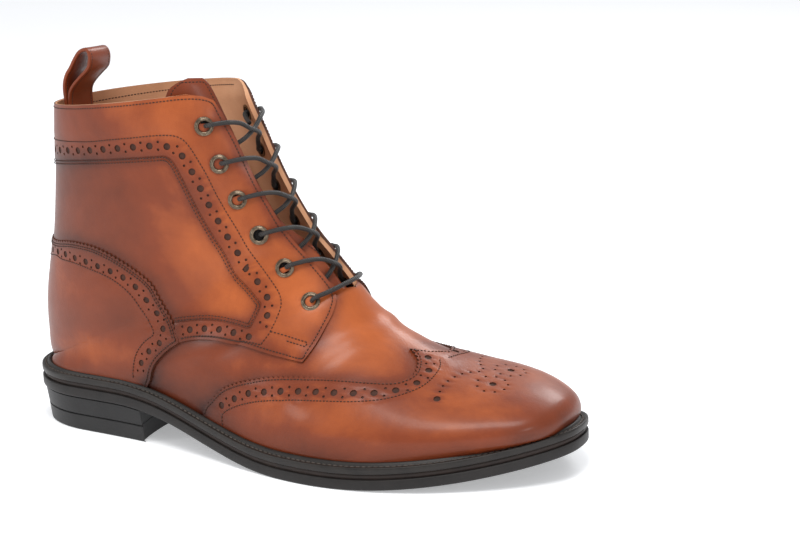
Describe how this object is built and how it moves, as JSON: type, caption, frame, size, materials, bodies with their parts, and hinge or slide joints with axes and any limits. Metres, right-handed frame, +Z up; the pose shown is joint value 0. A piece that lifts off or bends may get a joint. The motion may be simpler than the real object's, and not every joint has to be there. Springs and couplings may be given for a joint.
{
  "type": "brogue boot",
  "caption": "Ankle-height lace-up leather brogue boot for the right foot, with wing toe cap, gimped counter, pull loop, welted sole and stacked heel.",
  "frame": {"origin": "middle of the heel's length on its bottom face, where the boot stands on the floor", "axes": "+X from heel to toe, +Y to the medial side, +Z up from the floor"},
  "size_m": [0.304, 0.112, 0.1955],
  "materials": {
    "leather": "waxed tan leather, burnished darker at toe, heel and shaft",
    "lining_leather": "matt brown lining leather",
    "sole_rubber": "matt dark grey rubber",
    "midsole_rubber": "dark brown rubber layer",
    "welt_rubber": "dark grey-brown stitched welt",
    "brass": "antique brass",
    "lace": "waxed grey-brown round lace"
  },
  "bodies": {
    "root": {"outsole": "sole_rubber", "midsole": "midsole_rubber", "welt": "welt_rubber", "heel_block": "sole_rubber", "heel_top_lift": "sole_rubber", "insole": "lining_leather", "upper": "leather", "toe_cap": "leather", "heel_counter": "leather", "facing_lateral": "leather", "facing_medial": "leather", "tongue": "leather", "pull_loop": "leather", "eyelet_lateral_1": "brass", "eyelet_lateral_2": "brass", "eyelet_lateral_3": "brass", "eyelet_lateral_4": "brass", "eyelet_lateral_5": "brass", "eyelet_lateral_6": "brass", "eyelet_medial_1": "brass", "eyelet_medial_2": "brass", "eyelet_medial_3": "brass", "eyelet_medial_4": "brass", "eyelet_medial_5": "brass", "eyelet_medial_6": "brass", "lace_crossing_1": "lace", "lace_crossing_2": "lace", "lace_crossing_3": "lace", "lace_crossing_4": "lace", "lace_crossing_5": "lace", "lace_bar": "lace"}
  },
  "joints": []
}
